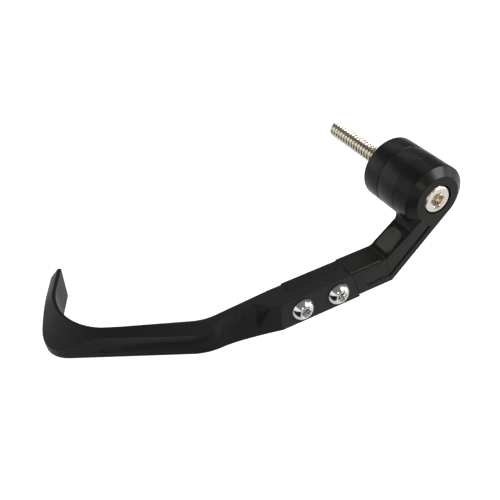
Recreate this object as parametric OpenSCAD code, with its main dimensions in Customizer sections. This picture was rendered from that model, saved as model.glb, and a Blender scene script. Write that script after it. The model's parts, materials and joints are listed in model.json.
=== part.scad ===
// Lever guard for the end of a handlebar.
// +X runs along the bolt into the bar, +Y forward to the hook, +Z up.
// The origin is on the bolt's axis, where the inner spacer seats on the bar end.

/* [Spacers] */
// Outer diameter of the spacers and of the arm's ring
boss_d = 30; // [26:0.5:34]
// Length of the spacer that seats on the bar end
inner_spacer_l = 10.5; // [6:0.5:16]
// Length of the spacer next to the arm
outer_spacer_l = 11.2; // [6:0.5:16]
// Width of the broken edge at each end of a spacer
spacer_edge = 0.5; // [0.2:0.1:0.8]

/* [Bar end bolt] */
// Diameter of the bolt's thread
bolt_d = 8; // [6:0.5:10]
// Length of thread that stands out of the inner spacer
stud_l = 47; // [30:1:60]
// Diameter of the bolt's head
bolt_head_d = 13; // [12:0.5:14]
// Height of the bolt's head
bolt_head_h = 8; // [6:0.5:8.5]
// Width across the flats of the hexagon socket
bolt_hex_af = 6; // [4:0.5:7]
// Depth of the hexagon socket
bolt_hex_depth = 4.5; // [3:0.5:5]
// Space all round the bolt in its bores
bolt_gap = 0.25; // [0.1:0.05:0.5]
// Space all round the bolt's head in its counterbore
head_gap = 0.5; // [0.2:0.1:0.8]

/* [Mounting arm] */
// Thickness of the arm along the bolt
arm_t = 12.3; // [11:0.1:15]
// Depth of the ring's front bevel along the bolt
bevel_depth = 3; // [1:0.5:4]
// Width of the ring's front bevel across the ring
bevel_w = 4; // [2:0.5:5]
// Angle of the leg below the forward direction
leg_angle = 42; // [36:1:48]
// Width of the leg beside the ring
leg_w = 13.4; // [12:0.2:15]
// Angle by which the leg widens towards the bar
leg_flare = 5.7; // [2:0.1:8]
// Height of the arm's bar
bar_h = 14; // [12:0.5:16]
// Drop from the bolt's axis to the top of the bar
bar_drop = 21.2; // [18:0.2:26]
// Radius in the corner between the ring and the leg
neck_r = 4; // [2:0.5:6]
// Radius in the corner between the leg and the bar
elbow_in_r = 5; // [2:0.5:8]
// Radius round the outside of the elbow
elbow_out_r = 4; // [1:0.5:6]
// Width of the raised rim along the arm's outer edge
rim_w = 3; // [2:0.5:4]
// Depth of the dished face inside the rim
dish_depth = 1; // [0.4:0.1:1.6]
// Distance along the leg from the bolt to the dish
dish_start_l = 11; // [10:0.5:14]
// Distance from the dish's end to the seam
dish_end_l = 4; // [3:0.5:8]
// Length of the scoop in the leg's forward side
scoop_l = 12; // [8:0.5:14]
// Width of the scoop along the bolt
scoop_w = 6.5; // [4:0.5:8]
// Depth of the scoop at the arm's back
scoop_depth = 1.5; // [0.5:0.1:2]

/* [Joint] */
// Forward place of the seam at the top of the bar
seam_y = 45.2; // [44:0.2:46]
// Angle of the seam from upright
seam_angle = 19; // [5:1:22]
// Thickness of the blade over the tongue
lap_t = 6.6; // [5:0.1:8]
// Height of the blade's front face above the arm's front face
blade_proud = 0.6; // [0:0.1:1.2]
// Distance from the arm's back to the tongue's back
tongue_set = 0.6; // [0.2:0.1:1.2]
// Length of the tongue past the front screw
tongue_end_l = 3.5; // [3.5:0.5:6]
// Gap between the blade and the arm at their seams
seam_gap = 0.15; // [0.05:0.05:0.3]

/* [Blade screws] */
// Diameter of the screws' thread
screw_d = 6; // [4:0.5:6]
// Length of the screws under the head
screw_l = 12; // [10:1:12]
// Diameter of the screws' button head
screw_head_d = 10.5; // [9:0.5:11]
// Height of the screws' button head
screw_head_h = 3.3; // [2.5:0.1:4]
// Width across the flats of the screws' sockets
screw_hex_af = 4; // [3:0.5:4]
// Depth of the screws' sockets
screw_hex_depth = 2.2; // [1.5:0.1:2.4]
// Distance from the seam to the nearer screw
screw_seam_l = 6.6; // [6.6:0.2:8]
// Distance between the two screws
screw_pitch = 18; // [16:0.5:19]
// Space all round each screw in the blade's holes
screw_gap = 0.25; // [0.1:0.05:0.4]

/* [Guard blade] */
// Height of the blade
blade_h = 14.6; // [13:0.2:17]
// Distance from the arm's back to the blade's back
blade_set = 1.3; // [0.8:0.1:2]
// Length of the blade's full thickness past the tongue
shoulder_l = 6.7; // [4:0.1:9]
// Length from the taper's start to the first bend's corner
taper_l = 30.9; // [28:0.5:36]
// Distance by which the blade's back leans outboard along the taper
taper_lean = 1.7; // [0.5:0.1:3]
// Angle of the blade between its bends, inboard of forward
bend_angle = 26.5; // [15:0.5:35]
// Inboard radius of the first bend
bend_r = 20; // [12:1:30]
// Length from the first bend's corner to the hook's corner
reach_l = 66.5; // [60:0.5:75]
// Angle by which the hook turns inboard
hook_angle = 87; // [70:1:95]
// Inboard radius of the hook's bend
hook_r = 29.3; // [24:0.5:30]
// Outboard radius of the hook's bend
hook_out_r = 14; // [10:0.5:18]
// Length from the hook's corner to its tip
hook_l = 42; // [36:0.5:46]
// Thickness of the blade at the first bend
neck_t = 5.2; // [4:0.1:6.5]
// Thickness of the blade before the hook
reach_t = 3.4; // [3:0.1:5]
// Thickness of the hook
hook_t = 5.8; // [4:0.1:6.5]
// Length by which the tip's lower corner is set back
tip_lean = 3; // [0:0.5:5]

/* [Blade channel] */
// Distance from the taper's start to the point of the channel's end
vee_start_l = 4.4; // [2:0.2:6]
// Length over which the channel's end opens
vee_l = 5.4; // [3:0.2:8]
// Width of the flat top edge where the channel has opened
edge_neck_w = 4; // [3:0.1:5]
// Width of the flat top edge at the middle of the blade
edge_mid_w = 1.5; // [1:0.1:2]
// Width of the flat top edge where it is narrowest
edge_min_w = 0.5; // [0.3:0.1:1]
// Width of the flat top edge on the hook
edge_hook_w = 1.7; // [1:0.1:2.5]
// Depth of the crease below the top where the channel has opened
crease_neck_h = 5; // [4:0.1:6]
// Depth of the crease below the top at the middle of the blade
crease_mid_h = 3.6; // [3:0.1:5]
// Distance of the crease behind the front face where the channel has opened
crease_set = 2.1; // [1:0.1:3]
// Height of the rim below the channel
rim_h = 4.3; // [3:0.1:5]
// Height of the rim below the channel before the hook
rim_end_h = 3; // [2:0.1:4]
// Depth of the channel
channel_depth = 0.9; // [0.4:0.1:1.2]

/* [Hidden] */
black = [0.07, 0.07, 0.07];
steel = [0.78, 0.77, 0.74];

// Places along the bolt, with the bar end at zero
boss_r = boss_d / 2;
bolt_r = bolt_d / 2;
arm_back = -(inner_spacer_l + outer_spacer_l);
arm_front = arm_back - arm_t;
blade_front = arm_front - blade_proud;
blade_back = arm_back - blade_set;
lap_back = blade_front + lap_t;
tongue_back = arm_back - tongue_set;
head_seat = arm_front + bolt_head_h;
shank_relief = 0.4;
head_break = 0.6;
thread_break = 1;

// Heights of the bar and blade
bar_top = -bar_drop;
bar_bottom = bar_top - bar_h;
blade_bottom = bar_top - blade_h;
screw_z = bar_top - blade_h / 2;
tap_gap = 0.05;
bar_edge = 0.8;
neck_slope = 1;

// Places forward of the bolt
seam_foot_y = seam_y - blade_h * tan(seam_angle);
screw_y = [for (i = [0, 1]) seam_y + screw_seam_l + i * screw_pitch];
tongue_y = screw_y[1] + tongue_end_l;
taper_y = tongue_y + shoulder_l;

// Length by which a cutting shape passes the face that it cuts
over = 1;

// Number of flats in a rounded corner
arc_steps = 8;

function unit(v) = v / norm(v);
function mix(a, b, f) = a * (1 - f) + b * f;
function cross2(a, b) = a[0] * b[1] - a[1] * b[0];

// Directions of the leg's two sides, in (y, z)
side_angle = leg_angle - leg_flare;
leg_dir = [cos(leg_angle), -sin(leg_angle)];
leg_out = [-sin(leg_angle), -cos(leg_angle)];
side_dir = [cos(side_angle), -sin(side_angle)];
side_out = [sin(side_angle), cos(side_angle)];

// Distance by which a blend runs into the round that it joins, so that they meet cleanly
blend = 0.05;

// Corners of the arm's outline, in (y, z)
leg_r = boss_r - blend;
outer_start = leg_out * leg_r;
side_start = leg_out * (boss_r - leg_w);
side_level = side_start * side_out;
elbow_out = outer_start + leg_dir * ((outer_start[1] - bar_bottom) / sin(leg_angle));
elbow_in = side_start + side_dir * ((side_start[1] - bar_top) / sin(side_angle));
elbow_cut = elbow_in_r * tan(side_angle / 2);

// Turns a drawing in (y, z) into a plate from x = x0, t thick
module plate(x0, t) {
    translate([x0, 0, 0])
        rotate([90, 0, 90])
            linear_extrude(t) children();
}

// Turns a drawing in (radius, distance along the bolt) into a turned piece
module turned() {
    rotate([0, 90, 0])
        rotate_extrude($fn = 96) children();
}

// Turned ring from x0 to x1 with broken outer edges and a bore
module ring(x0, x1, r, bore_r, edge) {
    turned()
        polygon([[bore_r, x0], [r - edge, x0], [r, x0 + edge], [r, x1 - edge], [r - edge, x1],
            [bore_r, x1]]);
}

// Points of an arc about centre c, from c + v on through the given angle
function arc(c, v, angle) =
    [for (i = [0 : arc_steps])
        let (a = angle * i / arc_steps)
        c + [v[0] * cos(a) - v[1] * sin(a), v[0] * sin(a) + v[1] * cos(a)]];

// Points of the arc of radius r that rounds the corner p between its neighbours a and b
function round_corner(p, a, b, r) =
    let (ua = unit(a - p), ub = unit(b - p), half = acos(ua * ub) / 2,
        c = p + unit(ua + ub) * (r / sin(half)), v = p + ua * (r / tan(half)) - c)
    arc(c, v, (cross2(ua, ub) > 0 ? -1 : 1) * (180 - 2 * half));

// Hexagon of a given width across its flats
module hexagon(af) {
    circle(af / sqrt(3), $fn = 6);
}

module inner_spacer() {
    color(black)
        ring(-inner_spacer_l, 0, boss_r, bolt_r + bolt_gap, spacer_edge);
}

module outer_spacer() {
    color(black)
        ring(arm_back, -inner_spacer_l, boss_r, bolt_r + bolt_gap, spacer_edge);
}

// Turned ring with its front bevel
module arm_ring() {
    turned()
        polygon([[0, arm_front], [boss_r - bevel_w, arm_front],
            [boss_r, arm_front + bevel_depth], [boss_r, arm_back], [0, arm_back]]);
}

// Outline of the leg and the bar as far as the seam
module leg_outline() {
    bar_end_top = [seam_y, bar_top];
    bar_end_foot = [seam_y - bar_h * tan(seam_angle), bar_bottom];
    polygon(concat([outer_start],
        round_corner(elbow_out, outer_start, bar_end_foot, elbow_out_r),
        [bar_end_foot, bar_end_top],
        round_corner(elbow_in, bar_end_top, side_start, elbow_in_r), [side_start]));
}

// Fillet between the ring and the leg's forward side, whose front falls away from the leg
module neck() {
    reach = boss_r + neck_r - blend;
    centre_level = side_level + neck_r - blend;
    centre = side_out * centre_level + side_dir * sqrt(reach * reach - pow(centre_level, 2));
    to_ring = -unit(centre) * neck_r;
    sweep = acos(unit(centre) * side_out);
    front = arm_front + blend;
    rise = (arm_back - front) / neck_slope;
    intersection() {
        plate(arm_front, arm_t)
            polygon(concat([[0, 0]], arc(centre, to_ring, sweep),
                [centre - side_out * (neck_r + over), side_start - side_out * over]));
        rotate([-side_angle, 0, 0])
            translate([0, 2 * boss_d, 0])
                rotate([90, 0, 0])
                    linear_extrude(2 * boss_d)
                        polygon([[front, side_level - 2 * over], [front, side_level],
                            [arm_back, side_level + rise], [arm_back, side_level - 2 * over]]);
    }
}

// Section of the front bevel on an edge at distance r from the axis, in (distance from the
// axis, distance along the bolt)
function bevel_section(r) = [[r - bevel_w, arm_front], [r - bevel_w, arm_front - over],
    [r + over, arm_front - over], [r + over, arm_front + bevel_depth * (1 + over / bevel_w)]];

// Turns a drawing in (distance from the axis, distance along the bolt) into a strip along
// the leg
module along_leg(section) {
    far = 2 * boss_d;
    rotate([-leg_angle, 0, 0])
        translate([0, far, 0])
            rotate([90, 0, 0])
                linear_extrude(far + over) polygon([for (p = section) [p[1], -p[0]]]);
}

// Dish in the arm's front, deepest along its rim and running out at the other side
module dish() {
    rim_r = boss_r - bevel_w - rim_w;
    side_r = boss_r - leg_w;
    level = bar_bottom + rim_w;
    start = leg_out * rim_r + leg_dir * dish_start_l;
    foot = start + leg_dir * ((start[1] - level) / sin(leg_angle));
    end_lean = [(bar_top - level) * tan(seam_angle), bar_top - level];
    end_foot = [seam_foot_y - dish_end_l, level];
    intersection() {
        along_leg([[rim_r, arm_front - over], [rim_r, arm_front + dish_depth],
            [side_r, arm_front], [side_r, arm_front - over]]);
        plate(arm_front - 2 * over, arm_t)
            polygon([start, foot, elbow_in, side_start + leg_dir * dish_start_l]);
    }
    intersection() {
        translate([0, 2 * seam_y, 0])
            rotate([90, 0, 0])
                linear_extrude(2 * seam_y)
                    polygon([[arm_front - over, level], [arm_front + dish_depth, level],
                        [arm_front, bar_top - bar_edge], [arm_front - over, bar_top - bar_edge]]);
        plate(arm_front - 2 * over, arm_t)
            polygon([foot, end_foot, end_foot + end_lean, elbow_in]);
    }
}

// Scoop in the leg's forward side, deepest at the arm's back
module scoop() {
    corner_r = 4;
    mid = (side_start * side_dir + elbow_in * side_dir + boss_r) / 2;
    rotate([-side_angle, 0, 0])
        translate([arm_back - scoop_w, mid - scoop_l / 2, side_level])
            rotate([0, atan(scoop_depth / scoop_w), 0])
                linear_extrude(bar_h) {
                    translate([corner_r, corner_r]) circle(corner_r, $fn = 48);
                    translate([corner_r, scoop_l - corner_r]) circle(corner_r, $fn = 48);
                    translate([corner_r, 0]) square([scoop_w, scoop_l]);
                    translate([0, corner_r]) square([scoop_w, scoop_l - 2 * corner_r]);
                }
}

// Bevelled edge along the top of the bar's front
module bar_bevel() {
    start = elbow_in[0] + elbow_cut + bar_edge;
    translate([arm_front, seam_y + over, bar_top])
        rotate([90, 0, 0])
            linear_extrude(seam_y + over - start)
                polygon([[-over, over], [bar_edge + over, over], [-over, -bar_edge - over]]);
}

// Holes through the plate at both screws, from x0 to x1
module screw_holes(x0, x1, r) {
    for (y = screw_y)
        translate([x0, y, screw_z])
            rotate([0, 90, 0]) cylinder(h = x1 - x0, r = r, $fn = 48);
}

module mounting_arm() {
    tongue_root_y = seam_foot_y - 2 * over;
    color(black)
        difference() {
            union() {
                arm_ring();
                neck();
                difference() {
                    plate(arm_front, arm_t) leg_outline();
                    along_leg(bevel_section(leg_r));
                }
                plate(lap_back, tongue_back - lap_back)
                    translate([tongue_root_y, bar_bottom])
                        square([tongue_y - tongue_root_y, bar_h]);
            }
            dish();
            scoop();
            bar_bevel();
            turned()
                translate([0, arm_front - over])
                    square([bolt_r + bolt_gap, arm_t + 2 * over]);
            turned()
                translate([0, arm_front - over])
                    square([bolt_head_d / 2 + head_gap, bolt_head_h + over]);
            screw_holes(lap_back - over, tongue_back + over, screw_d / 2 + tap_gap);
        }
}

// The blade's course is counted in stretches: 0 to 1 is the taper, 1 to 2 the first bend,
// 2 to 3 the reach, 3 to 4 the hook's bend and 4 to 5 the hook.
// A heading is the angle from forward towards inboard, and plan points are in (x, y).
lean_angle = atan(taper_lean / taper_l);
hook_heading = bend_angle + hook_angle;
function ahead(a) = [sin(a), cos(a)];
function outboard(a) = [-cos(a), sin(a)];

taper_start = [blade_back, taper_y];
bend_corner = [blade_back - taper_lean, taper_y + taper_l];
hook_corner = bend_corner + reach_l * ahead(bend_angle);
tip_end = hook_corner + hook_l * ahead(hook_heading);
bend_cut = bend_r * tan((bend_angle + lean_angle) / 2);
hook_cut = hook_r * tan(hook_angle / 2);
taper_end = bend_corner - bend_cut * ahead(-lean_angle);
reach_start = bend_corner + bend_cut * ahead(bend_angle);
reach_end = hook_corner - hook_cut * ahead(bend_angle);
hook_start = hook_corner + hook_cut * ahead(hook_heading);
bend_centre = reach_start - bend_r * outboard(bend_angle);
hook_centre = reach_end - hook_r * outboard(bend_angle);

// Heading of the section plane's normal at station u
function heading(u) =
    u < 1 ? -lean_angle * u :
    u < 2 ? mix(-lean_angle, bend_angle, u - 1) :
    u < 3 ? bend_angle :
    u < 4 ? mix(bend_angle, hook_heading, u - 3) : hook_heading;

// Point of the blade's back at station u
function back_at(u) =
    u < 1 ? mix(taper_start, taper_end, u) :
    u < 2 ? bend_centre + bend_r * outboard(heading(u)) :
    u < 3 ? mix(reach_start, reach_end, u - 2) :
    u < 4 ? hook_centre + hook_r * outboard(heading(u)) : mix(hook_start, tip_end, u - 4);

// Front outline of the hook: a line along the reach, an arc and a line along the hook
front_a = reach_end + reach_t * outboard(bend_angle);
front_dir = unit(front_a - reach_start - neck_t * outboard(bend_angle));
front_b = hook_start + hook_t * outboard(hook_heading);
front_b_dir = ahead(hook_heading);
front_corner = front_a + front_dir * cross2(front_b - front_a, front_b_dir)
    / cross2(front_dir, front_b_dir);
front_half = acos(-(front_dir * front_b_dir)) / 2;
front_cut = hook_out_r / tan(front_half);
arc_from = front_corner - front_cut * front_dir;
arc_to = front_corner + front_cut * front_b_dir;
arc_centre = front_corner + unit(front_b_dir - front_dir) * (hook_out_r / sin(front_half));

// Distance from the hook's centre to its front outline along a heading's outboard direction
function ray_to_line(e, p, d) = cross2(p - hook_centre, d) / cross2(e, d);
function ray_to_arc(e) =
    let (c = arc_centre - hook_centre, m = e * c)
    m + sqrt(hook_out_r * hook_out_r - c * c + m * m);
function side_of(e, p) = cross2(e, p - hook_centre);
function hook_ray(e) =
    side_of(e, arc_from) < 0 ? ray_to_line(e, front_a, front_dir) :
    side_of(e, arc_to) > 0 ? ray_to_line(e, front_b, front_b_dir) : ray_to_arc(e);

// Thickness of the blade at station u
taper_ease = 1.3;
full_t = blade_back - blade_front;
function thick(u) =
    u < 1 ? neck_t + (full_t - neck_t) * pow(1 - u, taper_ease) :
    u < 2 ? neck_t :
    u < 3 ? mix(neck_t, reach_t, u - 2) :
    u < 4 ? hook_ray(outboard(heading(u))) - hook_r : hook_t;

// Stations where the channel's end starts and where it has opened
vee_from = vee_start_l / norm(taper_end - taper_start);
vee_to = (vee_start_l + vee_l) / norm(taper_end - taper_start);
function opened(u) = min(1, max(0, (u - vee_from) / (vee_to - vee_from)));

// Measures of the section once the channel has opened: the widths run outboard from the
// blade's back and the heights down from its top
function edge_w(u) = lookup(u, [[vee_to, edge_neck_w], [2.5, edge_mid_w], [3, edge_min_w],
    [4, edge_hook_w]]);
function crease_w(u) = thick(u) - lookup(u, [[vee_to, crease_set], [2, crease_set / 5], [3, 0]]);
function crease_h(u) =
    u < 3 ? lookup(u, [[vee_to, crease_neck_h], [2.5, crease_mid_h], [3, reach_t - edge_min_w]])
    : thick(u) - edge_w(u);
function rim_top_h(u) = blade_h - lookup(u, [[2.5, rim_h], [3, rim_end_h]]);
function dip(u) = channel_depth * lookup(u, [[2.8, 1], [3.3, 0]]);

// Closed section at station u, as [width, height] points from the back's top round the front
function section(u) =
    let (t = thick(u), corner = [t, 0], f = opened(u),
        edge = [edge_w(u), 0],
        crease = [crease_w(u), crease_h(u)],
        rim = [t, rim_top_h(u)],
        floor_a = mix(crease, rim, 0.25) - [dip(u) * 0.6, 0],
        floor_b = mix(crease, rim, 0.6) - [dip(u) * 0.95, 0],
        floor_c = mix(crease, rim, 0.9) - [dip(u), 0])
    concat([[0, 0]], [for (p = [edge, crease, floor_a, floor_b, floor_c, rim]) mix(corner, p, f)],
        [[t, blade_h], [0, blade_h]]);

// Stations, closer together in the bends
stations = concat(
    [0, vee_from / 2],
    [for (i = [0 : 4]) mix(vee_from, vee_to, i / 4)],
    [for (i = [1 : 4]) mix(vee_to, 1, i / 4)],
    [for (i = [1 : 8]) 1 + i / 8],
    [for (i = [1 : 6]) 2 + i / 6],
    [for (i = [1 : 24]) 3 + i / 24],
    [4.5, 5]);

// Place of a section point, with the tip's lower corner set back
function blade_point(u, p) =
    let (lean = u > 4 ? (u - 4) * tip_lean * p[1] / blade_h : 0,
        q = back_at(u) + p[0] * outboard(heading(u)) - lean * ahead(hook_heading))
    [q[0], q[1], bar_top - p[1]];

// Solid through all the sections
module swept_blade() {
    rings = [for (u = stations) [for (p = section(u)) blade_point(u, p)]];
    n = len(rings[0]);
    last = len(rings) - 1;
    polyhedron(
        points = [for (r = rings) each r],
        faces = concat(
            [[for (j = [n - 1 : -1 : 0]) j]],
            [for (i = [0 : last - 1], j = [0 : n - 1])
                [i * n + j, i * n + (j + 1) % n, (i + 1) * n + (j + 1) % n, (i + 1) * n + j]],
            [[for (j = [0 : n - 1]) last * n + j]]),
        convexity = 6);
}

module guard_blade() {
    seam_shift = seam_gap / cos(seam_angle);
    color(black)
        difference() {
            union() {
                plate(blade_front, lap_t)
                    polygon([[seam_foot_y + seam_shift, blade_bottom],
                        [seam_y + seam_shift, bar_top], [taper_y, bar_top],
                        [taper_y, blade_bottom]]);
                plate(blade_front, full_t)
                    translate([tongue_y + seam_gap, blade_bottom])
                        square([shoulder_l - seam_gap, blade_h]);
                swept_blade();
            }
            screw_holes(blade_front - over, lap_back + over, screw_d / 2 + screw_gap);
        }
}

module bar_end_bolt() {
    head_r = bolt_head_d / 2;
    color(steel)
        difference() {
            turned()
                polygon([[0, arm_front], [head_r - head_break, arm_front],
                    [head_r, arm_front + head_break], [head_r, head_seat],
                    [bolt_r - shank_relief, head_seat], [bolt_r - shank_relief, 0], [bolt_r, 0],
                    [bolt_r, stud_l - thread_break], [bolt_r - thread_break, stud_l],
                    [0, stud_l]]);
            plate(arm_front - over, bolt_hex_depth + over) hexagon(bolt_hex_af);
        }
}

// Button head screw at forward place y, seated on the blade's front
module blade_screw(y) {
    head_r = screw_head_d / 2;
    dome_r = (head_r * head_r + screw_head_h * screw_head_h) / (2 * screw_head_h);
    translate([blade_front, y, screw_z])
        difference() {
            union() {
                rotate([0, 90, 0]) cylinder(h = screw_l, d = screw_d, $fn = 48);
                intersection() {
                    translate([dome_r - screw_head_h, 0, 0])
                        rotate([0, 90, 0]) sphere(dome_r, $fn = 96);
                    translate([-screw_head_h, 0, 0])
                        rotate([0, 90, 0]) cylinder(h = screw_head_h, r = head_r, $fn = 96);
                }
            }
            translate([-screw_head_h - over, 0, 0])
                rotate([0, 90, 0])
                    linear_extrude(screw_hex_depth + over) hexagon(screw_hex_af);
        }
}

module rear_blade_screw() {
    color(steel) blade_screw(screw_y[0]);
}

module front_blade_screw() {
    color(steel) blade_screw(screw_y[1]);
}

inner_spacer();
outer_spacer();
mounting_arm();
guard_blade();
bar_end_bolt();
rear_blade_screw();
front_blade_screw();
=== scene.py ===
"""Looks of a handlebar lever guard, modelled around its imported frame."""

import json
import math

import bmesh
import bpy
from bpy.props import FloatProperty, FloatVectorProperty, IntProperty, PointerProperty
from mathutils import Matrix, Vector


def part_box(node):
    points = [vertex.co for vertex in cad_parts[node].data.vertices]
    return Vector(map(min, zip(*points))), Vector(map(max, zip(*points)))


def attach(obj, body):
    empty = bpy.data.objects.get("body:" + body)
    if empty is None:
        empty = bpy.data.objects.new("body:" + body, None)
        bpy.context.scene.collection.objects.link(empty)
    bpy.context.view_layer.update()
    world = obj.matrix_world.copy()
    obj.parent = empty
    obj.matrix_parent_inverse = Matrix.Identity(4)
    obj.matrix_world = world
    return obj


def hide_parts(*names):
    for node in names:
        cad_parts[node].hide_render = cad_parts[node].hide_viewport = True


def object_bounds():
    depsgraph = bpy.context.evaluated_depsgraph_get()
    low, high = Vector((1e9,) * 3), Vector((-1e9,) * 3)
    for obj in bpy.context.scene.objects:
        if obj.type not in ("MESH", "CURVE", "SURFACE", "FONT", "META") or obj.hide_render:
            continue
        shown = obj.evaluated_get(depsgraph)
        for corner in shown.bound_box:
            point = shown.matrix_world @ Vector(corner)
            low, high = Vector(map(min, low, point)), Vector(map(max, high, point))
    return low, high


bl_info = {
    "name": "Handlebar Lever Guard",
    "version": (1, 0, 0),
    "blender": (4, 5, 0),
    "location": "3D View > Sidebar > Lever Guard",
    "description": "Finishes a lever guard's bolt, spacers, arm and blade",
    "category": "Mesh",
}

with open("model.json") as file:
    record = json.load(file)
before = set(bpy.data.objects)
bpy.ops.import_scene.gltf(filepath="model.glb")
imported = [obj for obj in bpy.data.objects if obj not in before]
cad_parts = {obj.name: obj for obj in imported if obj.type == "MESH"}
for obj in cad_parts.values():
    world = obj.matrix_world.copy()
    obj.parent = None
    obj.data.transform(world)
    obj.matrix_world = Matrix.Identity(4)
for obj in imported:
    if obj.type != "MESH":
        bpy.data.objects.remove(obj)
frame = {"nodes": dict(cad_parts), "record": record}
cad_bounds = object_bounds()

MM = 0.001
TURN = 2 * math.pi
# Distance under which points are one point
MERGE = 0.002 * MM
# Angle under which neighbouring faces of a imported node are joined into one
FLAT_ANGLE = math.radians(0.4)
# Cosine of the angle under which a face counts as square to a direction
SQUARE_ON = 0.9999
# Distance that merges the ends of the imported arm's short edges, which would fold when bevelled
SHORT_EDGE = 0.18 * MM
# Clearance of the bolt's thread in the spacers' bores
BOLT_CLEARANCE = 0.25 * MM
# Shares of its pitch that a thread's flank and its crest take
FLANK_SHARE = 0.12
CREST_SHARE = 0.42
# Corners of the pocket's outline, and the power that makes the outline squarer than an oval
POCKET_STEPS = 32
POCKET_POWER = 0.7
# Direction into the world's white lower part, and where the white starts and is full along it
BACKDROP = (0.25, 0.75, -1.2)
BACKDROP_START = -0.18
BACKDROP_FULL = 0.04
# Brightness that reflections see in the world's dark part and in its white part
ROOM_LEVEL = 0.2
BACKDROP_LEVEL = 1.15
# Brightness of the world as a light
FILL_LEVEL = 0.55
# Glow of the floor that only the camera sees, and glow that reflections see as well
FLOOR_GLOW = 0.55
FLOOR_SEEN_GLOW = 0.05


def node_size(node):
    """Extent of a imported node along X, Y and Z."""
    low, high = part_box(node)
    return high - low


def mount_radius(name):
    """Radius of one of the record's round mounts."""
    mount = next(m for m in frame["record"]["mounts"] if m["name"] == name)
    return mount["dims"]["r_mm"] * MM


class EdgeSizes(bpy.types.PropertyGroup):
    """Widths to which the black pieces' edges are broken."""

    spacer: FloatProperty(
        name="Spacers", description="Width of the spacers' rounded outer edges",
        default=0.5 * MM, min=0.1 * MM, unit="LENGTH")
    arm: FloatProperty(
        name="Arm", description="Width of the arm's broken edges",
        default=0.22 * MM, min=0.05 * MM, unit="LENGTH")
    blade: FloatProperty(
        name="Blade", description="Width of the blade's broken edges",
        default=0.3 * MM, min=0.05 * MM, unit="LENGTH")


class BoltSizes(bpy.types.PropertyGroup):
    """Sizes of the bolt that the frame doesn't hold."""

    pitch: FloatProperty(
        name="Pitch", description="Distance from one turn of the thread to the next",
        default=2.2 * MM, min=MM, unit="LENGTH")
    depth: FloatProperty(
        name="Thread depth", description="Depth of the thread from crest to root",
        default=0.5 * MM, min=0.2 * MM, unit="LENGTH")
    flats: FloatProperty(
        name="Socket", description="Width of the hexagon socket across its flats",
        default=6 * MM, min=3 * MM, unit="LENGTH")
    socket_depth: FloatProperty(
        name="Socket depth", description="Depth of the hexagon socket",
        default=4.2 * MM, min=MM, unit="LENGTH")
    head_height: FloatProperty(
        name="Head height", description="Height of the head above its seat",
        default=8 * MM, min=4 * MM, unit="LENGTH")
    shank: FloatProperty(
        name="Shank radius", description="Radius of the plain stretch in the spacers",
        default=mount_radius("stud") - 0.4 * MM, min=2 * MM, unit="LENGTH")
    hidden_thread: FloatProperty(
        name="Hidden thread", description="Length of thread inside the inner spacer",
        default=4 * MM, min=MM, unit="LENGTH")


class ScrewSizes(bpy.types.PropertyGroup):
    """Sizes of the blade's screws that the frame doesn't hold."""

    radius: FloatProperty(
        name="Thread radius", description="Outer radius of the thread",
        default=3 * MM, min=MM, unit="LENGTH")
    pitch: FloatProperty(
        name="Pitch", description="Distance from one turn of the thread to the next",
        default=1 * MM, min=0.5 * MM, unit="LENGTH")
    depth: FloatProperty(
        name="Thread depth", description="Depth of the thread from crest to root",
        default=0.5 * MM, min=0.1 * MM, unit="LENGTH")
    length: FloatProperty(
        name="Length", description="Length under the head",
        default=12 * MM, min=6 * MM, unit="LENGTH")
    flats: FloatProperty(
        name="Socket", description="Width of the hexagon socket across its flats",
        default=4 * MM, min=2 * MM, unit="LENGTH")
    socket_depth: FloatProperty(
        name="Socket depth", description="Depth of the hexagon socket",
        default=2 * MM, min=MM, unit="LENGTH")
    rim: FloatProperty(
        name="Rim", description="Height of the upright rim under the dome",
        default=0.35 * MM, min=0.1 * MM, unit="LENGTH")


class ArmSizes(bpy.types.PropertyGroup):
    """Places on the arm's leg, whose distances along it are from the bolt."""

    side_angle: FloatProperty(
        name="Side angle", description="Angle of the leg's forward side below forward",
        default=math.radians(36.3), subtype="ANGLE")
    side_level: FloatProperty(
        name="Side level", description="Distance of the leg's forward side from the bolt",
        default=-1.593 * MM, unit="LENGTH")
    scoop_start: FloatProperty(
        name="Scoop start", description="Start of the scoop along the leg",
        default=18 * MM, unit="LENGTH")
    scoop_end: FloatProperty(
        name="Scoop end", description="End of the scoop along the leg",
        default=30.5 * MM, unit="LENGTH")
    scoop_front: FloatProperty(
        name="Scoop front", description="Place of the scoop's front edge along the bolt",
        default=-28.5 * MM, unit="LENGTH")
    scoop_depth: FloatProperty(
        name="Scoop depth", description="Depth at which nothing else lies under the side",
        default=2 * MM, unit="LENGTH")
    pocket_x: FloatProperty(
        name="Pocket across", description="Middle of the pocket along the bolt",
        default=-27.1 * MM, unit="LENGTH")
    pocket_place: FloatProperty(
        name="Pocket along", description="Middle of the pocket along the leg",
        default=26.8 * MM, unit="LENGTH")
    pocket_width: FloatProperty(
        name="Pocket width", description="Width of the pocket across the leg",
        default=10 * MM, min=MM, unit="LENGTH")
    pocket_length: FloatProperty(
        name="Pocket length", description="Length of the pocket along the leg",
        default=12.8 * MM, min=MM, unit="LENGTH")
    pocket_depth: FloatProperty(
        name="Pocket depth", description="Depth of the pocket's middle",
        default=0.4 * MM, min=0.1 * MM, unit="LENGTH")
    pocket_lean: FloatProperty(
        name="Pocket lean", description="Angle by which the pocket deepens towards the elbow",
        default=math.radians(1), subtype="ANGLE")
    dish_start: FloatProperty(
        name="Dish start", description="Place along the leg after which the dish lies",
        default=10 * MM, unit="LENGTH")
    dish_depth: FloatProperty(
        name="Dish depth", description="Depth of front within which only the dish lies",
        default=1.2 * MM, unit="LENGTH")
    dish_share: FloatProperty(
        name="Dish share", description="Share of the packed dish's depth that is kept",
        default=0.6, min=0.1, max=1)


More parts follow.
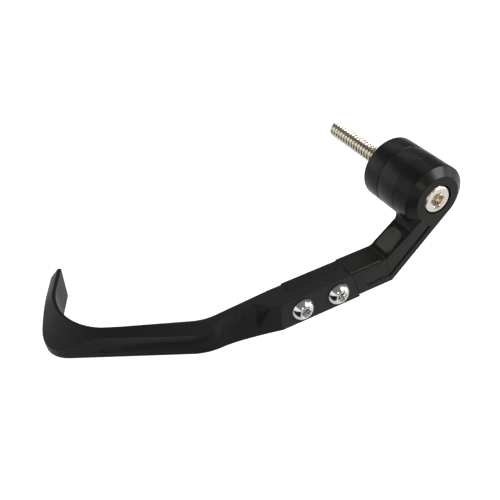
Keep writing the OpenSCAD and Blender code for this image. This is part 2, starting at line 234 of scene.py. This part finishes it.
class FinishLooks(bpy.types.PropertyGroup):
    """Colours of the finishes, and the painted sheen of the pocket's floor."""

    black: FloatVectorProperty(
        name="Arm and spacers", description="Colour of their black anodising",
        subtype="COLOR", size=3, min=0, max=1, default=(0.0085, 0.0085, 0.0074))
    # The pocket floor's colour is painted sheen: a lighter black that stands in for a brighter
    # reflection and offsets the pocket's shade
    pocket: FloatVectorProperty(
        name="Pocket", description="Colour of the pocket's floor, lighter as painted sheen",
        subtype="COLOR", size=3, min=0, max=1, default=(0.064, 0.066, 0.057))
    blade: FloatVectorProperty(
        name="Blade", description="Colour of the blade's black anodising",
        subtype="COLOR", size=3, min=0, max=1, default=(0.0125, 0.0128, 0.0122))
    bolt: FloatVectorProperty(
        name="Bolt", description="Colour of the bolt's bright plating",
        subtype="COLOR", size=3, min=0, max=1, default=(0.72, 0.67, 0.575))
    thread: FloatVectorProperty(
        name="Thread", description="Colour of the plating on the bolt's rolled thread",
        subtype="COLOR", size=3, min=0, max=1, default=(0.74, 0.68, 0.55))
    screw: FloatVectorProperty(
        name="Screws", description="Colour of the blade screws' polished steel",
        subtype="COLOR", size=3, min=0, max=1, default=(0.76, 0.75, 0.73))


class StageLooks(bpy.types.PropertyGroup):
    """Camera, floor and light."""

    camera_place: FloatVectorProperty(
        name="Camera", description="Place of the camera",
        subtype="TRANSLATION", unit="LENGTH", size=3,
        default=(-219.7 * MM, 170.1 * MM, 170.3 * MM))
    camera_aim: FloatVectorProperty(
        name="Aim", description="Point in the middle of the picture",
        subtype="TRANSLATION", unit="LENGTH", size=3,
        default=(-34 * MM, 90.75 * MM, 12.66 * MM))
    camera_roll: FloatProperty(
        name="Roll", description="Angle by which the camera leans clockwise",
        subtype="ANGLE", default=math.radians(6.754))
    lens: FloatProperty(
        name="Lens", description="Focal length in millimetres on a 36 mm sensor",
        default=48.5, min=20)
    floor_drop: FloatProperty(
        name="Floor", description="Distance of the floor below the guard",
        default=60 * MM, min=0, unit="LENGTH")
    floor_size: FloatProperty(
        name="Floor size", description="Length of the floor's sides",
        default=12, min=2, unit="LENGTH")
    card_size: FloatProperty(
        name="Card size", description="Length of the dark card's sides",
        default=0.9, min=0.1, unit="LENGTH")
    card_near: FloatProperty(
        name="Card distance", description="Distance outboard from the bolt to the dark card",
        default=0.06, unit="LENGTH")
    card_side: FloatProperty(
        name="Card side", description="Distance forward from the bolt to the dark card",
        default=0.085, unit="LENGTH")
    floor_front: FloatProperty(
        name="Floor edge", description="Distance from the bolt to the floor's outboard edge",
        default=0.2, min=0.1, unit="LENGTH")


class GuardSettings(bpy.types.PropertyGroup):
    """Everything that a user would change."""

    steps: IntProperty(
        name="Steps", description="Flats round a turned piece, in sixes",
        default=96, min=24, step=6)
    edges: PointerProperty(type=EdgeSizes)
    bolt: PointerProperty(type=BoltSizes)
    screw: PointerProperty(type=ScrewSizes)
    arm: PointerProperty(type=ArmSizes)
    finish: PointerProperty(type=FinishLooks)
    stage: PointerProperty(type=StageLooks)


def new_material(name, colour, metallic, roughness):
    """Material with a Principled shader and its texture coordinates."""
    material = bpy.data.materials.new(name)
    material.use_nodes = True
    tree = material.node_tree
    shader = tree.nodes["Principled BSDF"]
    shader.inputs["Base Color"].default_value = (*colour, 1)
    shader.inputs["Metallic"].default_value = metallic
    shader.inputs["Roughness"].default_value = roughness
    coords = tree.nodes.new("ShaderNodeTexCoord")
    return material, tree, shader, coords


def noise(tree, coords, scale, detail, stretch=(1, 1, 1)):
    """Noise on Object coordinates, stretched along chosen axes."""
    mapping = tree.nodes.new("ShaderNodeMapping")
    mapping.inputs["Scale"].default_value = stretch
    texture = tree.nodes.new("ShaderNodeTexNoise")
    texture.inputs["Scale"].default_value = scale
    texture.inputs["Detail"].default_value = detail
    tree.links.new(coords.outputs["Object"], mapping.inputs["Vector"])
    tree.links.new(mapping.outputs["Vector"], texture.inputs["Vector"])
    return texture.outputs["Fac"]


def spread(tree, value, low, high):
    """Maps a pattern's middle range to the range from low to high."""
    mapped = tree.nodes.new("ShaderNodeMapRange")
    mapped.inputs["From Min"].default_value = 0.3
    mapped.inputs["From Max"].default_value = 0.7
    mapped.inputs["To Min"].default_value = low
    mapped.inputs["To Max"].default_value = high
    tree.links.new(value, mapped.inputs["Value"])
    return mapped.outputs["Result"]


def tint(tree, value, colour, lift):
    """Colour that varies with a pattern between a colour and a lighter one."""
    ramp = tree.nodes.new("ShaderNodeValToRGB")
    ramp.color_ramp.elements[0].position = 0.35
    ramp.color_ramp.elements[0].color = (*colour, 1)
    ramp.color_ramp.elements[1].position = 0.7
    ramp.color_ramp.elements[1].color = (*[min(1, c * lift) for c in colour], 1)
    tree.links.new(value, ramp.inputs["Fac"])
    return ramp.outputs["Color"]


def roughen(tree, shader, height, distance, strength):
    """Bump from a pattern, whose heights span the given distance."""
    bump = tree.nodes.new("ShaderNodeBump")
    bump.inputs["Strength"].default_value = strength
    bump.inputs["Distance"].default_value = distance
    tree.links.new(height, bump.inputs["Height"])
    tree.links.new(bump.outputs["Normal"], shader.inputs["Normal"])


def anodised_black(name, colour, sheen_level, stretch=(1, 1, 1)):
    """Satin black anodising over fine machining marks."""
    material, tree, shader, coords = new_material(name, colour, metallic=0, roughness=0.4)
    shader.inputs["Specular IOR Level"].default_value = sheen_level
    cloud = noise(tree, coords, scale=45, detail=3)
    grain = noise(tree, coords, scale=2600, detail=2, stretch=stretch)
    tree.links.new(tint(tree, cloud, colour, lift=1.25), shader.inputs["Base Color"])
    tree.links.new(spread(tree, grain, low=0.24, high=0.34), shader.inputs["Roughness"])
    roughen(tree, shader, grain, distance=0.004 * MM, strength=0.6)
    return material


def bright_metal(name, colour, low, high, stretch):
    """Bright metal with fine marks, whose roughness goes from low to high."""
    material, tree, shader, coords = new_material(name, colour, metallic=1, roughness=low)
    marks = noise(tree, coords, scale=1400, detail=3, stretch=stretch)
    cloud = noise(tree, coords, scale=320, detail=2)
    dull = [c * 0.9 for c in colour]
    tree.links.new(tint(tree, cloud, dull, lift=1.1), shader.inputs["Base Color"])
    tree.links.new(spread(tree, marks, low, high), shader.inputs["Roughness"])
    roughen(tree, shader, marks, distance=0.003 * MM, strength=0.5)
    return material


def new_piece(name, bm, material, node):
    """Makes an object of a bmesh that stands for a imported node."""
    mesh = bpy.data.meshes.new(name)
    bm.to_mesh(mesh)
    bm.free()
    mesh.materials.append(material)
    piece = bpy.data.objects.new(name, mesh)
    bpy.context.scene.collection.objects.link(piece)
    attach(piece, "root")
    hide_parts(node)
    return piece


def shade_by_angle(piece, degrees):
    """Smooth shading that keeps edges over the given angle sharp."""
    piece.data.shade_smooth()
    piece.data.set_sharp_from_angle(angle=math.radians(degrees))


def lathe(bm, profile, steps, closed=False):
    """Turns a profile of (distance along X, radius) points about the X axis."""
    verts = [bm.verts.new((x, r, 0)) for x, r in profile]
    pairs = list(zip(verts, verts[1:]))
    if closed:
        pairs.append((verts[-1], verts[0]))
    edges = [bm.edges.new(pair) for pair in pairs]
    bmesh.ops.spin(
        bm, geom=verts + edges, cent=(0, 0, 0), axis=(1, 0, 0), angle=TURN, steps=steps,
        use_merge=True, use_duplicate=False)


def ring_of_edges(bm, x):
    """Open edges that lie in the plane at x."""
    return [
        e for e in bm.edges
        if e.is_boundary and all(abs(v.co.x - x) < MERGE for v in e.verts)]


def join_rings(bm, x_first, x_second):
    """Bridges the round openings in two planes."""
    bmesh.ops.bridge_loops(bm, edges=ring_of_edges(bm, x_first) + ring_of_edges(bm, x_second))


def hexagon_socket(bm, x_face, x_hexagon, flats, depth, steps):
    """Closes the round opening at x_face with a hexagon socket that starts at x_hexagon."""
    rim = ring_of_edges(bm, x_face)
    turn = Matrix.Translation((x_hexagon, 0, 0)) @ Matrix.Rotation(math.pi / 2, 4, "Y")
    made = bmesh.ops.create_circle(bm, segments=6, radius=flats / math.sqrt(3), matrix=turn)
    sides = list({e for v in made["verts"] for e in v.link_edges})
    bmesh.ops.subdivide_edges(bm, edges=sides, cuts=steps // 6 - 1)
    hexagon = [e for e in bm.edges if e.is_wire]
    bmesh.ops.bridge_loops(bm, edges=rim + hexagon)
    walls = bmesh.ops.extrude_edge_only(bm, edges=hexagon)["geom"]
    foot = [g for g in walls if isinstance(g, bmesh.types.BMVert)]
    bmesh.ops.translate(bm, vec=(depth, 0, 0), verts=foot)
    foot_edges = [g for g in walls if isinstance(g, bmesh.types.BMEdge) and g.is_boundary]
    cone = bmesh.ops.extrude_edge_only(bm, edges=foot_edges)["geom"]
    tip = [g for g in cone if isinstance(g, bmesh.types.BMVert)]
    cone_depth = flats / 6
    centre = Vector((x_hexagon + depth + cone_depth, 0, 0))
    bmesh.ops.pointmerge(bm, verts=tip, merge_co=centre)


def thread(bm, start, end, radius, pitch, depth, steps, tip):
    """Helical thread along X between two planes, with a chamfered tip at its end."""
    flank = FLANK_SHARE * pitch
    crest = CREST_SHARE * pitch
    tooth = [(0, radius - depth), (flank, radius), (flank + crest, radius),
             (2 * flank + crest, radius - depth)]
    # The turns reach past both planes, which then cut them
    count = math.ceil((end - start) / pitch) + 3
    first = start - 2 * pitch
    profile = [(first + i * pitch + x, r) for i in range(count) for x, r in tooth]
    verts = [bm.verts.new((x, r, 0)) for x, r in profile]
    edges = [bm.edges.new(pair) for pair in zip(verts, verts[1:])]
    before = set(bm.verts) - set(verts)
    bmesh.ops.spin(
        bm, geom=verts + edges, cent=(0, 0, 0), axis=(1, 0, 0), angle=TURN, steps=steps,
        dvec=(pitch / steps, 0, 0), use_merge=False, use_duplicate=False)
    turned = [v for v in bm.verts if v not in before]
    bmesh.ops.remove_doubles(bm, verts=turned, dist=MERGE)
    for place, side in ((start, -1), (end, 1)):
        made = [v for v in bm.verts if v not in before]
        geom = made + list({e for v in made for e in v.link_edges})
        geom += list({f for v in made for f in v.link_faces})
        bmesh.ops.bisect_plane(
            bm, geom=geom, dist=MERGE, plane_co=(place, 0, 0), plane_no=(side, 0, 0),
            clear_outer=True)
    for v in bm.verts:
        cone_r = radius - tip + (end - v.co.x)
        around = Vector((0, v.co.y, v.co.z))
        if v not in before and v.co.x > end - tip and around.length > cone_r:
            v.co = Vector((v.co.x, 0, 0)) + around * (cone_r / around.length)
    bmesh.ops.holes_fill(bm, edges=ring_of_edges(bm, end), sides=0)


def finish_mesh(bm):
    """Merges doubles and turns the faces outwards."""
    bmesh.ops.remove_doubles(bm, verts=bm.verts, dist=MERGE)
    bmesh.ops.recalc_face_normals(bm, faces=bm.faces)


def join_flat_faces(bm):
    """Joins neighbouring faces that lie in one plane."""
    bmesh.ops.dissolve_limit(bm, angle_limit=FLAT_ANGLE, verts=bm.verts, edges=bm.edges)


def merged_copy(node):
    """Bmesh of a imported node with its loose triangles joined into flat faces."""
    bm = bmesh.new()
    bm.from_mesh(frame["nodes"][node].data)
    bmesh.ops.remove_doubles(bm, verts=bm.verts, dist=MERGE)
    join_flat_faces(bm)
    return bm


def room_beside(edge, face):
    """Extent of a face at right angles to one of its edges."""
    start = edge.verts[0].co
    across = face.normal.cross(edge.verts[1].co - start).normalized()
    return max(abs((v.co - start).dot(across)) for v in face.verts)


def mark_edges(bm, degrees, room):
    """Gives a bevel weight to the edges over an angle that have room on both sides."""
    weight = bm.edges.layers.float.new("bevel_weight_edge")
    for edge in bm.edges:
        sharp = edge.is_manifold and edge.calc_face_angle(0) > math.radians(degrees)
        if sharp and min(room_beside(edge, face) for face in edge.link_faces) > room:
            edge[weight] = 1


def break_edges(piece, width):
    """Rounds the edges that have a bevel weight."""
    bevel = piece.modifiers.new("broken edges", "BEVEL")
    bevel.width = width
    bevel.segments = 3
    bevel.limit_method = "WEIGHT"
    bevel.use_clamp_overlap = False
    normals = piece.modifiers.new("flat faces", "WEIGHTED_NORMAL")
    normals.keep_sharp = True


class GUARD_OT_spacers(bpy.types.Operator):
    """Turn the two spacers between the bar end and the arm"""

    bl_idname = "guard.spacers"
    bl_label = "Spacers"

    def execute(self, context):
        settings = context.scene.guard
        bore = mount_radius("stud") + BOLT_CLEARANCE
        black = anodised_black(
            "turned black", settings.finish.black, sheen_level=0.24, stretch=(6, 0.4, 0.4))
        for node in ("inner_spacer", "outer_spacer"):
            low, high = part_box(node)
            bm = bmesh.new()
            corners = [(low.x, bore), (low.x, high.y), (high.x, high.y), (high.x, bore)]
            lathe(bm, corners, settings.steps, closed=True)
            finish_mesh(bm)
            outer = [
                e for e in bm.edges
                if abs(e.verts[0].co.x - e.verts[1].co.x) < MERGE
                and all(v.co.yz.length > high.y - MERGE for v in e.verts)]
            bmesh.ops.bevel(
                bm, geom=outer, offset=settings.edges.spacer, segments=4, profile=0.5,
                affect="EDGES", material=-1)
            piece = new_piece("turned_" + node, bm, black, node)
            shade_by_angle(piece, degrees=40)
        return {"FINISHED"}


def largest_face_in_plane(bm, out, level):
    """Largest face in the plane that is square to a direction and at a level along it."""
    found = [
        f for f in bm.faces
        if f.normal.dot(out) > SQUARE_ON
        and abs(f.calc_center_median().dot(out) - level) < 5 * MERGE]
    return max(found, key=lambda f: f.calc_area())


def leg_directions(arm):
    """Directions out of the leg's forward side and along the leg."""
    out = Vector((0, math.sin(arm.side_angle), math.cos(arm.side_angle)))
    along = Vector((0, math.cos(arm.side_angle), -math.sin(arm.side_angle)))
    return out, along


class GUARD_OT_arm(bpy.types.Operator):
    """Finish the milled arm with its pocket, its dish and broken edges"""

    bl_idname = "guard.arm"
    bl_label = "Mounting arm"

    def execute(self, context):
        settings = context.scene.guard
        black = anodised_black("milled black", settings.finish.black, sheen_level=0.14)
        bm = merged_copy("mounting_arm")
        self.fill_scoop(bm, settings.arm)
        self.sink_pocket(bm, settings.arm)
        self.soften_dish(bm, settings.arm)
        bmesh.ops.remove_doubles(bm, verts=bm.verts, dist=SHORT_EDGE)
        mark_edges(bm, degrees=25, room=1.2 * MM)
        piece = new_piece("milled_arm", bm, black, "mounting_arm")
        # Second material: the black made lighter, a painted sheen on the pocket's floor
        painted_sheen_black = anodised_black("pocket painted sheen", settings.finish.pocket, sheen_level=0.14)
        piece.data.materials.append(painted_sheen_black)
        shade_by_angle(piece, degrees=30)
        break_edges(piece, settings.edges.arm)
        return {"FINISHED"}

    def fill_scoop(self, bm, arm):
        """Fills the scoop up to the plane of the leg's forward side."""
        out, along = leg_directions(arm)
        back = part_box("mounting_arm")[1].x
        sunk = [
            v for v in bm.verts
            if arm.scoop_start < v.co.dot(along) < arm.scoop_end and v.co.x > arm.scoop_front
            and MERGE < arm.side_level - v.co.dot(out) < arm.scoop_depth]
        bmesh.ops.delete(bm, geom=sunk, context="VERTS")
        rim = {e for e in bm.edges if e.is_boundary}
        back_rim = {e for e in rim if all(abs(v.co.x - back) < MERGE for v in e.verts)}
        scoop_rim = rim - back_rim
        corners = {v for e in scoop_rim for v in e.verts}
        ends = [v for v in corners if len(scoop_rim.intersection(v.link_edges)) == 1]
        edge = bm.edges.new(ends)
        bmesh.ops.triangle_fill(bm, use_beauty=True, edges=[*scoop_rim, edge], normal=out)
        bmesh.ops.triangle_fill(bm, use_beauty=True, edges=[*back_rim, edge], normal=(1, 0, 0))
        bmesh.ops.recalc_face_normals(bm, faces=bm.faces)
        join_flat_faces(bm)

    def soften_dish(self, bm, arm):
        """Makes the dish in the leg's front shallower."""
        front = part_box("mounting_arm")[0].x
        out, along = leg_directions(arm)
        for v in bm.verts:
            depth = v.co.x - front
            on_leg = v.co.dot(out) < arm.side_level and v.co.dot(along) > arm.dish_start
            if on_leg and MERGE < depth < arm.dish_depth:
                v.co.x = front + depth * arm.dish_share

    def sink_pocket(self, bm, arm):
        """Sinks a flat rounded pocket, which is deeper towards the elbow, into the leg."""
        out, along = leg_directions(arm)
        level = out * arm.side_level
        side = largest_face_in_plane(bm, out, arm.side_level)
        border = list(side.edges)
        bmesh.ops.delete(bm, geom=[side], context="FACES_ONLY")
        loop = []
        for i in range(POCKET_STEPS):
            turn = TURN * i / POCKET_STEPS
            x = math.copysign(abs(math.cos(turn)) ** POCKET_POWER, math.cos(turn))
            y = math.copysign(abs(math.sin(turn)) ** POCKET_POWER, math.sin(turn))
            place = Vector((arm.pocket_x + x * arm.pocket_width / 2, 0, 0))
            place += along * (arm.pocket_place + y * arm.pocket_length / 2)
            loop.append(bm.verts.new(place + level))
        rim = [bm.edges.new((a, b)) for a, b in zip(loop, loop[1:] + loop[:1])]
        bmesh.ops.triangle_fill(bm, use_beauty=True, edges=border + rim, normal=out)
        walls = bmesh.ops.extrude_edge_only(bm, edges=rim)["geom"]
        for v in [g for g in walls if isinstance(g, bmesh.types.BMVert)]:
            past = v.co.dot(along) - arm.pocket_place
            v.co -= out * (arm.pocket_depth + past * math.tan(arm.pocket_lean))
        floor_rim = [g for g in walls if isinstance(g, bmesh.types.BMEdge) and g.is_boundary]
        # The pocket's floor gets the second material, whose lighter colour is painted sheen
        for face in bmesh.ops.holes_fill(bm, edges=floor_rim, sides=0)["faces"]:
            face.material_index = 1
        bmesh.ops.recalc_face_normals(bm, faces=bm.faces)


class GUARD_OT_blade(bpy.types.Operator):
    """Finish the blade with broken edges"""

    bl_idname = "guard.blade"
    bl_label = "Guard blade"

    def execute(self, context):
        settings = context.scene.guard
        black = anodised_black("blade black", settings.finish.blade, sheen_level=0.11)
        bm = merged_copy("guard_blade")
        mark_edges(bm, degrees=20, room=0.4 * MM)
        piece = new_piece("finished_blade", bm, black, "guard_blade")
        shade_by_angle(piece, degrees=10)
        break_edges(piece, settings.edges.blade)
        return {"FINISHED"}


class GUARD_OT_bolt(bpy.types.Operator):
    """Turn the bar end bolt with its socket and thread"""

    bl_idname = "guard.bolt"
    bl_label = "Bar end bolt"

    def execute(self, context):
        settings = context.scene.guard
        sizes = settings.bolt
        low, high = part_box("bar_end_bolt")
        head_r = node_size("bar_end_bolt").y / 2
        seat = low.x + sizes.head_height
        chamfer = 0.7 * MM
        bend_drop = 0.25 * MM
        bend_inset = 0.3 * MM
        socket_ease = 0.25 * MM
        hexagon_drop = 0.3 * MM
        runout = 0.5 * MM
        tip = MM
        socket_r = sizes.flats / math.sqrt(3) + socket_ease
        thread_start = -sizes.hidden_thread
        shank_end = thread_start - runout
        bm = bmesh.new()
        profile = [
            (low.x, socket_r), (low.x, head_r - chamfer),
            (low.x + bend_drop, head_r - bend_inset), (low.x + chamfer, head_r),
            (seat, head_r), (seat, sizes.shank), (shank_end, sizes.shank)]
        lathe(bm, profile, settings.steps)
        hexagon_socket(bm, low.x, low.x + hexagon_drop, sizes.flats, sizes.socket_depth,
                       settings.steps)
        thread(bm, thread_start, high.x, mount_radius("stud"), sizes.pitch, sizes.depth,
               settings.steps, tip)
        join_rings(bm, shank_end, thread_start)
        finish_mesh(bm)
        mark_stretch = (0.5, 3, 3)
        plated = bright_metal(
            "bright plating", settings.finish.bolt, low=0.2, high=0.32, stretch=mark_stretch)
        for face in bm.faces:
            if face.calc_center_median().x > thread_start:
                face.material_index = 1
        piece = new_piece("threaded_bolt", bm, plated, "bar_end_bolt")
        rolled = bright_metal(
            "rolled thread", settings.finish.thread, low=0.1, high=0.18, stretch=mark_stretch)
        piece.data.materials.append(rolled)
        shade_by_angle(piece, degrees=30)
        return {"FINISHED"}


class GUARD_OT_screws(bpy.types.Operator):
    """Turn the two button head screws that hold the blade"""

    bl_idname = "guard.screws"
    bl_label = "Blade screws"

    def execute(self, context):
        settings = context.scene.guard
        sizes = settings.screw
        steel = bright_metal(
            "polished steel", settings.finish.screw, low=0.1, high=0.2, stretch=(1, 1, 1))
        socket_ease = 0.2 * MM
        flat_ring = 0.35 * MM
        rim_inset = 0.15 * MM
        hexagon_drop = 0.2 * MM
        tip = 0.5 * MM
        neck_r = sizes.radius - sizes.depth / 2
        for node in ("rear_blade_screw", "front_blade_screw"):
            low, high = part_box(node)
            head_r = (high.y - low.y) / 2
            seat = high.x - sizes.length
            top = low.x
            socket_r = sizes.flats / math.sqrt(3) + socket_ease
            flat_r = socket_r + flat_ring
            dome = self.dome(top, seat - sizes.rim, flat_r, head_r)
            shank_end = seat + 2 * sizes.pitch
            thread_start = shank_end + sizes.pitch / 2
            bm = bmesh.new()
            profile = [(top, socket_r)] + dome
            profile += [(seat, head_r - rim_inset), (seat, neck_r), (shank_end, neck_r)]
            lathe(bm, profile, settings.steps)
            hexagon_socket(bm, top, top + hexagon_drop, sizes.flats, sizes.socket_depth,
                           settings.steps)
            thread(bm, thread_start, high.x, sizes.radius, sizes.pitch, sizes.depth,
                   settings.steps, tip)
            join_rings(bm, shank_end, thread_start)
            finish_mesh(bm)
            bmesh.ops.translate(
                bm, vec=(0, (low.y + high.y) / 2, (low.z + high.z) / 2), verts=bm.verts)
            piece = new_piece("turned_" + node, bm, steel, node)
            shade_by_angle(piece, degrees=30)
        return {"FINISHED"}

    def dome(self, top, rim, flat_r, head_r, steps=14):
        """Arc of a circle about the axis from the flat top to the rim."""
        rise = rim - top
        centre = (head_r ** 2 - flat_r ** 2 + rise ** 2) / (2 * rise)
        radius = math.hypot(flat_r, centre)
        start = math.atan2(flat_r, centre)
        end = math.atan2(head_r, centre - rise)
        angles = [start + (end - start) * i / steps for i in range(steps + 1)]
        return [(top + centre - radius * math.cos(a), radius * math.sin(a)) for a in angles]


def add_lamp(name, place, aim, width, height, power):
    """Soft rectangular lamp that shines from place towards aim."""
    light = bpy.data.lights.new(name, "AREA")
    light.shape = "RECTANGLE"
    light.size = width
    light.size_y = height
    light.energy = power
    lamp = bpy.data.objects.new(name, light)
    lamp.location = place
    lamp.rotation_euler = (Vector(aim) - Vector(place)).to_track_quat("-Z", "Y").to_euler()
    bpy.context.scene.collection.objects.link(lamp)
    return lamp


def seen_rays(tree):
    """One for rays from the camera and for glossy and transmitted rays, otherwise zero."""
    path = tree.nodes.new("ShaderNodeLightPath")
    total = path.outputs["Is Camera Ray"]
    for name in ("Is Glossy Ray", "Is Transmission Ray"):
        larger = tree.nodes.new("ShaderNodeMath")
        larger.operation = "MAXIMUM"
        tree.links.new(total, larger.inputs[0])
        tree.links.new(path.outputs[name], larger.inputs[1])
        total = larger.outputs["Value"]
    return path, total


def white_floor():
    """Matt white floor that shows white and keeps the shadow on it."""
    material = bpy.data.materials.new("white floor")
    material.use_nodes = True
    tree = material.node_tree
    tree.nodes.clear()
    path, seen = seen_rays(tree)
    output = tree.nodes.new("ShaderNodeOutputMaterial")
    matt = tree.nodes.new("ShaderNodeBsdfDiffuse")
    matt.inputs["Color"].default_value = (0.8, 0.8, 0.8, 1)
    glow = tree.nodes.new("ShaderNodeEmission")
    reflected = tree.nodes.new("ShaderNodeMath")
    reflected.operation = "MULTIPLY"
    reflected.inputs[1].default_value = FLOOR_SEEN_GLOW
    strength = tree.nodes.new("ShaderNodeMath")
    strength.operation = "MULTIPLY_ADD"
    strength.inputs[1].default_value = FLOOR_GLOW
    both = tree.nodes.new("ShaderNodeAddShader")
    tree.links.new(seen, reflected.inputs[0])
    tree.links.new(path.outputs["Is Camera Ray"], strength.inputs[0])
    tree.links.new(reflected.outputs["Value"], strength.inputs[2])
    tree.links.new(strength.outputs["Value"], glow.inputs["Strength"])
    tree.links.new(matt.outputs["BSDF"], both.inputs[0])
    tree.links.new(glow.outputs["Emission"], both.inputs[1])
    tree.links.new(both.outputs["Shader"], output.inputs["Surface"])
    return material


def studio_world():
    """World with a white backdrop and a dark room above it, which the camera sees white."""
    world = bpy.data.worlds.new("studio")
    world.use_nodes = True
    bpy.context.scene.world = world
    tree = world.node_tree
    tree.nodes.clear()
    path, seen = seen_rays(tree)
    coords = tree.nodes.new("ShaderNodeTexCoord")
    side = tree.nodes.new("ShaderNodeVectorMath")
    side.operation = "DOT_PRODUCT"
    side.inputs[1].default_value = BACKDROP
    tree.links.new(coords.outputs["Generated"], side.inputs[0])
    ramp = tree.nodes.new("ShaderNodeMapRange")
    ramp.interpolation_type = "SMOOTHSTEP"
    ramp.inputs["From Min"].default_value = BACKDROP_START
    ramp.inputs["From Max"].default_value = BACKDROP_FULL
    ramp.inputs["To Min"].default_value = ROOM_LEVEL
    ramp.inputs["To Max"].default_value = BACKDROP_LEVEL
    tree.links.new(side.outputs["Value"], ramp.inputs["Value"])
    surround = tree.nodes.new("ShaderNodeMix")
    surround.data_type = "RGBA"
    surround.inputs["A"].default_value = (FILL_LEVEL, FILL_LEVEL, FILL_LEVEL, 1)
    tree.links.new(seen, surround.inputs["Factor"])
    tree.links.new(ramp.outputs["Result"], surround.inputs["B"])
    shown = tree.nodes.new("ShaderNodeMix")
    shown.data_type = "RGBA"
    shown.inputs["B"].default_value = (1, 1, 1, 1)
    tree.links.new(path.outputs["Is Camera Ray"], shown.inputs["Factor"])
    tree.links.new(surround.outputs["Result"], shown.inputs["A"])
    background = tree.nodes.new("ShaderNodeBackground")
    output = tree.nodes.new("ShaderNodeOutputWorld")
    tree.links.new(shown.outputs["Result"], background.inputs["Color"])
    tree.links.new(background.outputs["Background"], output.inputs["Surface"])


def add_card(stage):
    """Dark card above the floor at the front left, which only reflections show."""
    place = Matrix.Translation((
        -stage.card_near - stage.card_size / 2, stage.card_side + stage.card_size / 2,
        cad_bounds[0].z - stage.floor_drop + MM))
    bm = bmesh.new()
    bmesh.ops.create_grid(bm, x_segments=1, y_segments=1, size=stage.card_size / 2, matrix=place)
    mesh = bpy.data.meshes.new("dark card")
    bm.to_mesh(mesh)
    bm.free()
    material, _, shader, _ = new_material(
        "dark card", (0.01, 0.01, 0.01), metallic=0, roughness=1)
    shader.inputs["Specular IOR Level"].default_value = 0
    mesh.materials.append(material)
    card = bpy.data.objects.new("dark card", mesh)
    card.visible_camera = False
    card.visible_diffuse = False
    card.visible_shadow = False
    bpy.context.scene.collection.objects.link(card)


# Lamps: name, direction from the guard, width and height in metres, and power in watts
LAMP_DISTANCE = 0.8
LAMPS = (
    ("right softbox", (-0.41, -0.9, 0.05), 0.3, 0.3, 0.9),
    ("front softbox", (-0.64, -0.62, 0.45), 0.3, 0.3, 4.6),
    ("front glint", (-0.9, 0.15, 0.33), 0.05, 0.05, 0.3),
    ("overhead softbox", (0.5, -0.3, 0.62), 0.4, 0.4, 0.3),
)


class GUARD_OT_stage(bpy.types.Operator):
    """Set up the camera, the white floor and the lamps"""

    bl_idname = "guard.stage"
    bl_label = "Stage"

    def execute(self, context):
        scene = context.scene
        stage = scene.guard.stage
        scene.view_settings.view_transform = "Standard"
        camera_data = bpy.data.cameras.new("camera")
        camera_data.lens = stage.lens
        camera = bpy.data.objects.new("camera", camera_data)
        look = Vector(stage.camera_aim) - Vector(stage.camera_place)
        turn = look.to_track_quat("-Z", "Y").to_matrix().to_4x4()
        roll = Matrix.Rotation(-stage.camera_roll, 4, "Z")
        camera.matrix_world = Matrix.Translation(stage.camera_place) @ turn @ roll
        scene.collection.objects.link(camera)
        scene.camera = camera
        bm = bmesh.new()
        place = Matrix.Translation((
            stage.floor_size / 2 - stage.floor_front, 0, cad_bounds[0].z - stage.floor_drop))
        bmesh.ops.create_grid(bm, x_segments=1, y_segments=1, size=stage.floor_size / 2,
                              matrix=place)
        mesh = bpy.data.meshes.new("floor")
        bm.to_mesh(mesh)
        bm.free()
        mesh.materials.append(white_floor())
        floor = bpy.data.objects.new("floor", mesh)
        scene.collection.objects.link(floor)
        studio_world()
        add_card(stage)
        middle = (cad_bounds[0] + cad_bounds[1]) / 2
        for name, towards, width, height, power in LAMPS:
            place = middle + Vector(towards).normalized() * LAMP_DISTANCE
            add_lamp(name, place, middle, width, height, power)
        return {"FINISHED"}


class GUARD_PT_sidebar(bpy.types.Panel):
    """Sizes, colours and pieces of the lever guard"""

    bl_idname = "GUARD_PT_sidebar"
    bl_label = "Lever Guard"
    bl_space_type = "VIEW_3D"
    bl_region_type = "UI"
    bl_category = "Lever Guard"

    def draw(self, context):
        settings = context.scene.guard
        self.layout.prop(settings, "steps")
        for group in ("edges", "bolt", "screw", "arm", "finish", "stage"):
            box = self.layout.box()
            box.label(text=group.title())
            values = getattr(settings, group)
            for name in values.__annotations__:
                box.prop(values, name)
        for operator in OPERATORS:
            self.layout.operator(operator.bl_idname)


OPERATORS = (
    GUARD_OT_stage,
    GUARD_OT_spacers,
    GUARD_OT_arm,
    GUARD_OT_blade,
    GUARD_OT_bolt,
    GUARD_OT_screws,
)
GROUPS = (EdgeSizes, BoltSizes, ScrewSizes, ArmSizes, FinishLooks, StageLooks, GuardSettings)
CLASSES = (*GROUPS, *OPERATORS, GUARD_PT_sidebar)


def register():
    for cls in CLASSES:
        bpy.utils.register_class(cls)
    bpy.types.Scene.guard = PointerProperty(type=GuardSettings)


def unregister():
    del bpy.types.Scene.guard
    for cls in reversed(CLASSES):
        bpy.utils.unregister_class(cls)


def main():
    register()
    bpy.ops.guard.stage()
    bpy.ops.guard.spacers()
    bpy.ops.guard.arm()
    bpy.ops.guard.blade()
    bpy.ops.guard.bolt()
    bpy.ops.guard.screws()


if __name__ == "__main__":
    main()
